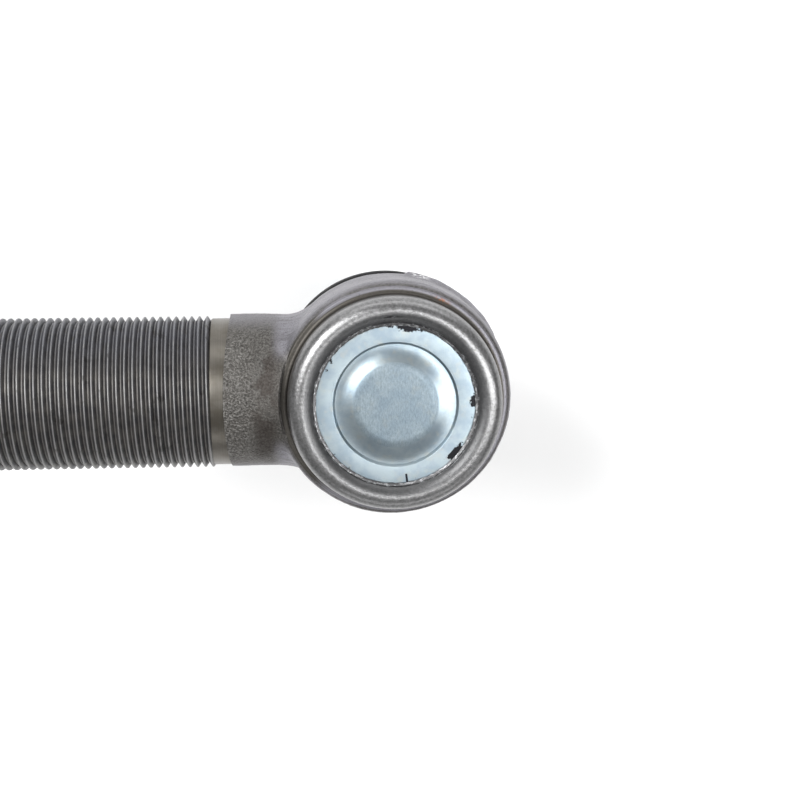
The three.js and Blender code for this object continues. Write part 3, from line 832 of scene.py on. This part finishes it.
# boot clamp rings
def wirePiece(name, points, radius, material, sides=4, cyclic=False):
    curve = bpy.data.curves.new(name, "CURVE")
    curve.dimensions = "3D"
    curve.bevel_depth = radius * mm
    curve.bevel_resolution = sides
    curve.use_fill_caps = True
    spline = curve.splines.new("POLY")
    spline.points.add(len(points) - 1)
    for point, place in zip(spline.points, points):
        point.co = (*(Vector(place) * mm), 1)
    spline.use_cyclic_u = cyclic
    source = addObject(name + "Path", curve)
    obj = addObject(name, evaluated(source), material)
    bpy.data.objects.remove(source)
    return smoothBelow(obj, 50)


clamps = {
    "upper": {"radius": 28.35, "height": -15.6, "wire": 0.8, "lap": 0.5},
    "lower": {"radius": 18.95, "height": -36.8, "wire": 0.72, "lap": 0.6},
}


def ringPath(c):
    # a little over one turn, the end lying beside the start
    count = 150
    path = []
    for i in range(count + 1):
        done = i / count
        angle = 0.6 + done * (math.tau + c["lap"])
        lift = c["wire"] * (max(0.0, 1 - done * 9) - max(0.0, done * 9 - 8)) * 0.98
        path.append((c["radius"] * math.cos(angle), c["radius"] * math.sin(angle), c["height"] + lift))
    return path


def makeRing(name, c):
    return wirePiece(name, ringPath(c), c["wire"], paint["wire"])


ringPlaces = (
    (makeRing("bootUpperRing", clamps["upper"]), "housing", "boot_upper_ring"),
    (makeRing("bootLowerRing", clamps["lower"]), "boot_collar", "boot_lower_ring"),
)
for ring, body, node in ringPlaces:
    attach(ring, body)
    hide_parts(node)
print("clamp rings made")


# ball stud
stud = {
    "ball": 19.0, "flat": 15.5, "neck": 11.0, "taperTop": -40.0, "taperRadius": 14.3,
    "taperLength": 34.0, "taper": 1 / 8, "end": -103.0, "pin": -93.9,
}


def makeStud(s):
    bottomRadius = s["taperRadius"] - s["taperLength"] * s["taper"] / 2
    bottom = s["taperTop"] - s["taperLength"]
    top = math.degrees(math.asin(s["flat"] / s["ball"]))
    low = -math.degrees(math.acos(s["neck"] / s["ball"]))
    outline = [(0, s["flat"]), *arcPoints(0, 0, s["ball"], top, low, 60)]
    outline += roundCorners([
        (s["neck"], -16.5), (s["neck"], -27), (s["neck"] + 0.9, -29.6), (s["taperRadius"], -32.6),
        (s["taperRadius"], s["taperTop"]), (bottomRadius, bottom), (10.8, bottom - 0.9),
        (10.8, bottom - 2.6), (0, bottom - 2.6)],
        {1: 3, 2: 3, 3: 1.2, 5: 0.3, 6: 0.3})
    return smoothBelow(turned("ballStud", outline, 192, paint["ground"]), 32)


ballStud = makeStud(stud)
studSizes = {
    "Pitch": 1.5, "Major": 12.0, "Minor": 11.08, "Length": 28.2,
    "Chamfer": 1.5, "Hand": 1.0, "Per Turn": 72,
}
studStart = Matrix.Translation((0, 0, (stud["end"] + studSizes["Length"]) * mm))
studTurn = studStart @ Matrix.Rotation(math.pi, 4, "X")
studThread = growThread("studThread", paint["studThread"], studSizes, studTurn)
pinHole = turned("pinHole", [(0, -30), (2.7, -30), (2.7, 30), (0, 30)], 48, axis="X")
pinHole.data.transform(Matrix.Translation((0, 0, stud["pin"] * mm)) @ Matrix.Rotation(math.pi / 2, 4, "Z"))
cutWith(studThread, pinHole, crossing=True)
smoothBelow(studThread, 28)
for piece in (ballStud, studThread):
    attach(piece, "stud")
    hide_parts("ball_stud")
print("stud made")


# castle nut
nut = {
    "seat": -75.0, "height": 22.0, "flats": 36.0, "crown": 7.0, "crownRadius": 16.6,
    "slot": 5.7, "bore": 12.3,
}


def nutSlotTree(material):
    # takes boxes out of the crown, one for each pair of slots
    tree = bpy.data.node_groups.new("nutSlots", "GeometryNodeTree")
    inputs = {"Slot Width": 0.0057, "Slot Depth": 0.0065, "Bottom": -0.097, "Pairs": 3}
    tree.interface.new_socket("Geometry", in_out="INPUT", socket_type="NodeSocketGeometry")
    for label, value in inputs.items():
        kind = "NodeSocketInt" if isinstance(value, int) else "NodeSocketFloat"
        tree.interface.new_socket(label, in_out="INPUT", socket_type=kind).default_value = value
    tree.interface.new_socket("Geometry", in_out="OUTPUT", socket_type="NodeSocketGeometry")
    g = Graph(tree)
    feed = tree.nodes.new("NodeGroupInput")
    body = Wire(g, feed.outputs["Geometry"])
    width, depth, bottom, pairs = (Wire(g, feed.outputs[label]) for label in inputs)
    box = g.node("GeometryNodeMeshCube", None, {"Size": g.vector(width, 0.06, depth * 2)})
    row = g.node("GeometryNodeMeshLine", None, {
        "Count": pairs, "Start Location": g.vector(0, 0, bottom), "Offset": (0, 0, 0)})
    index = g.node("GeometryNodeInputIndex")
    boxes = g.node("GeometryNodeInstanceOnPoints", None, {
        "Points": row, "Instance": box, "Rotation": g.vector(0, 0, index * (math.pi / 3))})
    boxes = g.node("GeometryNodeRealizeInstances", None, {0: boxes})
    cut = tree.nodes.new("GeometryNodeMeshBoolean")
    cut.operation = "DIFFERENCE"
    tree.links.new(body.socket, cut.inputs[0])
    tree.links.new(boxes.socket, cut.inputs[1])
    solid = g.node("GeometryNodeRealizeInstances", None, {0: Wire(g, cut.outputs[0])})
    solid = g.node("GeometryNodeSetMaterial", None, {0: solid, "Material": material})
    tree.links.new(solid.socket, tree.nodes.new("NodeGroupOutput").inputs[0])
    return tree


def makeNut(n):
    corner = n["flats"] / 2 / math.cos(math.pi / 6)
    low = n["seat"] - n["height"] + n["crown"]
    bottom = n["seat"] - n["height"]
    face = n["flats"] / 2 - 0.6
    outline = [
        (0, n["seat"]), (face, n["seat"]), (corner + 0.05, n["seat"] - 1.7),
        (corner + 0.05, low + 1.7), (face, low), (0, low),
    ]
    hexagon = turned("castleNut", roundCorners(outline, {1: 0.5, 2: 0.4, 3: 0.4, 4: 0.5}), 192)
    bm = bmesh.new()
    made = bmesh.ops.create_cone(
        bm, cap_ends=True, segments=6, radius1=corner * mm, radius2=corner * mm, depth=n["height"] * 2 * mm)
    bmesh.ops.translate(bm, verts=made["verts"], vec=(0, 0, n["seat"] * mm))
    bevelEdges = [e for e in bm.edges if abs((e.verts[0].co - e.verts[1].co).z) > 0.01]
    bmesh.ops.bevel(bm, geom=bevelEdges, offset=0.6 * mm, segments=4, affect="EDGES")
    prism = bpy.data.meshes.new("prism")
    bm.to_mesh(prism)
    bm.free()
    cutWith(hexagon, addObject("prism", prism), operation="INTERSECT")
    crown = [(0, low + 1), (n["crownRadius"], low + 1), (n["crownRadius"], bottom), (0, bottom)]
    cutWith(hexagon, turned("crown", roundCorners(crown, {2: 0.9}), 192), operation="UNION")
    hole = [
        (0, n["seat"] + 1), (n["bore"] + 1.9, n["seat"] + 1), (n["bore"], n["seat"] - 0.9),
        (n["bore"], bottom + 0.8), (n["bore"] + 1.6, bottom - 1), (0, bottom - 1),
    ]
    cutWith(hexagon, turned("nutHole", hole, 192))
    slots = hexagon.modifiers.new("slots", "NODES")
    slots.node_group = nutSlotTree(paint["nut"])
    values = {"Slot Width": n["slot"] * mm, "Slot Depth": (n["crown"] - 0.5) * mm, "Bottom": bottom * mm}
    for item in slots.node_group.interface.items_tree:
        if item.in_out == "INPUT" and item.name in values:
            slots[item.identifier] = values[item.name]
    return smoothBelow(applyModifiers(hexagon), 32)


castleNut = makeNut(nut)
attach(castleNut, "stud")
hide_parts("castle_nut")
print("nut made")


# split pin
pin = {
    "wire": 1.12, "eye": 3.2, "eyeSteps": 14, "head": 18.6,
    "leg": 18.4, "bend": 2.4, "bendSteps": 8, "longTail": 7.6, "shortTail": 6.4,
}


def pinPath(p, side):
    # half of the doubled wire: round the eye, through the nut, and bent back over a flat
    height = stud["pin"]
    reach = p["eye"]
    path = []
    for i in range(p["eyeSteps"] + 1):
        angle = math.pi - i / p["eyeSteps"] * (math.pi - 0.28)
        along = -p["head"] - reach + reach * math.cos(angle) - 0.2
        path.append((0, along, height + side * reach * math.sin(angle)))
    path += [(0, y, height + side * p["wire"]) for y in (-p["head"] + 0.6, 0, p["leg"] - 0.6)]
    bend = p["bend"]
    for i in range(1, p["bendSteps"] + 1):
        angle = i / p["bendSteps"] * math.pi / 2
        rise = p["wire"] + bend - bend * math.cos(angle)
        path.append((0, p["leg"] - 0.6 + bend * math.sin(angle), height + side * rise))
    tail = p["longTail"] if side > 0 else p["shortTail"]
    path.append((0, p["leg"] + 1.9, height + side * tail))
    return path


pinHalves = [wirePiece("pinHalf", pinPath(pin, side), pin["wire"], paint["ground"]) for side in (1, -1)]
splitPin = joined(*pinHalves)
splitPin.name = "splitPin"
smoothBelow(splitPin, 50)
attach(splitPin, "stud")
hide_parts("split_pin")
print("pin made")


# inner pieces keep their shape and get their finish
innerFinishes = {
    "cover_seal_ring": "rubber", "disc_spring": "wire",
    "upper_ball_seat": "plastic", "lower_ball_seat": "plastic",
}
for node, finishName in innerFinishes.items():
    for place in nodes[node].material_slots:
        place.material = paint[finishName]
print("inner pieces finished")


# camera, light and floor
view = {
    "stand": (-0.02623, 0.06839, 0.40676), "aim": (0.00147, 0.00029, 0.020),
    "roll": -0.2, "lens": 67.26,
}
camera = bpy.data.objects.new("camera", bpy.data.cameras.new("camera"))
camera.data.lens = view["lens"]
camera.data.sensor_width = 36
camera.data.clip_start = 0.01
back = (Vector(view["stand"]) - Vector(view["aim"])).normalized()
right = Vector((0, 1, 0)).cross(back).normalized()
turn = Matrix((right, back.cross(right), back)).transposed().to_4x4()
roll = Matrix.Rotation(math.radians(view["roll"]), 4, "Z")
camera.matrix_world = Matrix.Translation(view["stand"]) @ turn @ roll
bpy.context.scene.collection.objects.link(camera)
bpy.context.scene.camera = camera


def softBox(name, place, size, power, aim=(0, 0, 0.01)):
    lamp = bpy.data.lights.new(name, "AREA")
    lamp.shape = "RECTANGLE"
    lamp.size, lamp.size_y = size
    lamp.energy = power
    obj = bpy.data.objects.new(name, lamp)
    obj.location = place
    obj.rotation_euler = (Vector(place) - Vector(aim)).to_track_quat("Z", "Y").to_euler()
    bpy.context.scene.collection.objects.link(obj)
    return obj


softBox("keyLeft", (-0.60, 0.38, 0.90), (0.5, 0.55), 12)
softBox("highRight", (0.54, -0.08, 1.0), (0.3, 0.95), 8)
softBox("zenithStrip", (0.1, -0.21, 1.2), (1.4, 0.14), 0.7)
softBox("backLow", (0.1, 1.0, 0.32), (1.6, 0.5), 5)
softBox("frontLow", (0.2, -1.1, 0.5), (1.6, 0.3), 2.5)
world = bpy.data.worlds.new("studio")
world.use_nodes = True
world.node_tree.nodes["Background"].inputs["Color"].default_value = (1, 1, 1, 1)
world.node_tree.nodes["Background"].inputs["Strength"].default_value = 0.32
bpy.context.scene.world = world
bpy.context.scene.view_settings.view_transform = "Standard"

floorPaint = Paint("floorPaper").finish(Base_Color=(0.93, 0.93, 0.93), Roughness=0.9)
floorMesh = bpy.data.meshes.new("floor")
floorMesh.from_pydata([(-3, -3, 0), (3, -3, 0), (3, 3, 0), (-3, 3, 0)], [], [(0, 1, 2, 3)])
floor = addObject("floor", floorMesh, floorPaint)
floor.location.z = cadBox[0][2] - 0.001
print("camera and light set")
